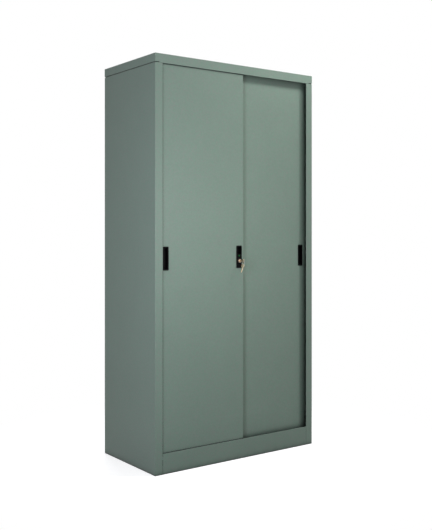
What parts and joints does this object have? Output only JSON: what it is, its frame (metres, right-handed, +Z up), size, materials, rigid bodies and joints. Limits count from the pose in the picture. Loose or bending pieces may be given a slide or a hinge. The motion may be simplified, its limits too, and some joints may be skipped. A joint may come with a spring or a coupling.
{
  "type": "sliding door cabinet",
  "caption": "Tall steel cupboard with sliding doors on bottom rollers, adjustable shelves, recessed pulls and a push lock with its keys.",
  "frame": {"origin": "on the floor, at the middle of the outline in X and Y, which runs from the spare key in front to the back of the body", "axes": "+Z up, +X to the right of someone facing the doors, +Y from the doors to the back"},
  "size_m": [0.915, 0.495, 1.83],
  "materials": {
    "paint": "satin",
    "galvanised": "satin",
    "aluminium": "satin",
    "nickel": "satin",
    "brass": "satin",
    "black_plastic": "satin",
    "nylon": "satin",
    "rubber": "matte",
    "green_plastic": "gloss"
  },
  "bodies": {
    "carcass": {"left_side_panel": "paint", "right_side_panel": "paint", "back_panel": "paint", "top_cap": "paint", "bottom_deck": "paint", "front_plinth": "paint", "top_track": "aluminium", "bottom_track": "aluminium", "left_front_upright": "paint", "right_front_upright": "paint", "left_rear_upright": "paint", "right_rear_upright": "paint", "shelf_1": "paint", "shelf_2": "paint", "shelf_3": "paint", "shelf_1_left_front_clip": "galvanised", "shelf_1_right_front_clip": "galvanised", "shelf_1_left_rear_clip": "galvanised", "shelf_1_right_rear_clip": "galvanised", "shelf_2_left_front_clip": "galvanised", "shelf_2_right_front_clip": "galvanised", "shelf_2_left_rear_clip": "galvanised", "shelf_2_right_rear_clip": "galvanised", "shelf_3_left_front_clip": "galvanised", "shelf_3_right_front_clip": "galvanised", "shelf_3_left_rear_clip": "galvanised", "shelf_3_right_rear_clip": "galvanised", "left_front_buffer": "rubber", "left_rear_buffer": "rubber", "right_front_buffer": "rubber", "right_rear_buffer": "rubber"},
    "left_door": {"left_door_panel": "paint", "left_door_stiffener": "galvanised", "left_door_left_roller_bracket": "galvanised", "left_door_right_roller_bracket": "galvanised", "left_door_left_guide": "nylon", "left_door_right_guide": "nylon", "left_door_pull": "black_plastic", "lock_pull": "black_plastic", "lock_index_dot": "green_plastic", "lock_barrel": "nickel", "lock_nut": "galvanised", "lock_spring": "galvanised"},
    "right_door": {"right_door_panel": "paint", "right_door_stiffener": "galvanised", "right_door_left_roller_bracket": "galvanised", "right_door_right_roller_bracket": "galvanised", "right_door_left_guide": "nylon", "right_door_right_guide": "nylon", "right_door_pull": "black_plastic", "lock_strike": "nickel"},
    "left_door_left_roller": {"left_door_left_roller": "nylon"},
    "left_door_right_roller": {"left_door_right_roller": "nylon"},
    "right_door_left_roller": {"right_door_left_roller": "nylon"},
    "right_door_right_roller": {"right_door_right_roller": "nylon"},
    "lock_plunger": {"lock_plunger": "nickel"},
    "lock_core": {"lock_core": "brass"},
    "key": {"key": "nickel"},
    "key_ring": {"key_ring": "galvanised"},
    "spare_key": {"spare_key": "nickel"}
  },
  "joints": [
    {"name": "left_door_slide", "type": "slide", "parent": "carcass", "child": "left_door", "axis": [1, 0, 0], "range_m": [0, 0.4]},
    {"name": "right_door_slide", "type": "slide", "parent": "carcass", "child": "right_door", "axis": [-1, 0, 0], "range_m": [0, 0.4]},
    {"name": "left_door_left_roller_spin", "type": "hinge", "parent": "left_door", "child": "left_door_left_roller", "pos_m": [-0.3735, -0.19705, 0.0843], "axis": [0, 1, 0], "continuous": true},
    {"name": "left_door_right_roller_spin", "type": "hinge", "parent": "left_door", "child": "left_door_right_roller", "pos_m": [-0.0335, -0.19705, 0.0843], "axis": [0, 1, 0], "continuous": true},
    {"name": "right_door_left_roller_spin", "type": "hinge", "parent": "right_door", "child": "right_door_left_roller", "pos_m": [0.0335, -0.17695, 0.0843], "axis": [0, 1, 0], "continuous": true},
    {"name": "right_door_right_roller_spin", "type": "hinge", "parent": "right_door", "child": "right_door_right_roller", "pos_m": [0.3735, -0.17695, 0.0843], "axis": [0, 1, 0], "continuous": true},
    {"name": "plunger_push", "type": "slide", "parent": "left_door", "child": "lock_plunger", "axis": [0, -1, 0], "range_m": [-0.006, 0], "stiffness_N_per_m": 500, "springref_m": 0.002, "deforming": ["lock_spring"]},
    {"name": "key_turn", "type": "hinge", "parent": "lock_plunger", "child": "lock_core", "pos_m": [0.0025, -0.20505, 0.92], "axis": [0, 1, 0], "range_deg": [0, 90]},
    {"name": "key_withdraw", "type": "slide", "parent": "lock_core", "child": "key", "axis": [0, -1, 0], "range_m": [0, 0.014]},
    {"name": "ring_swing", "type": "hinge", "parent": "key", "child": "key_ring", "pos_m": [0.0025, -0.23815, 0.91829], "axis": [1, 0, 0], "range_deg": [-30, 30]},
    {"name": "spare_swing", "type": "hinge", "parent": "key_ring", "child": "spare_key", "pos_m": [0.0025, -0.23815, 0.91029], "axis": [0, 1, 0], "range_deg": [-45, 30]}
  ],
  "couplings": [
    {"joint": "left_door_left_roller_spin", "follows": "left_door_slide", "rad_per_m": 83.333},
    {"joint": "left_door_right_roller_spin", "follows": "left_door_slide", "rad_per_m": 83.333},
    {"joint": "right_door_left_roller_spin", "follows": "right_door_slide", "rad_per_m": -83.333},
    {"joint": "right_door_right_roller_spin", "follows": "right_door_slide", "rad_per_m": -83.333}
  ]
}
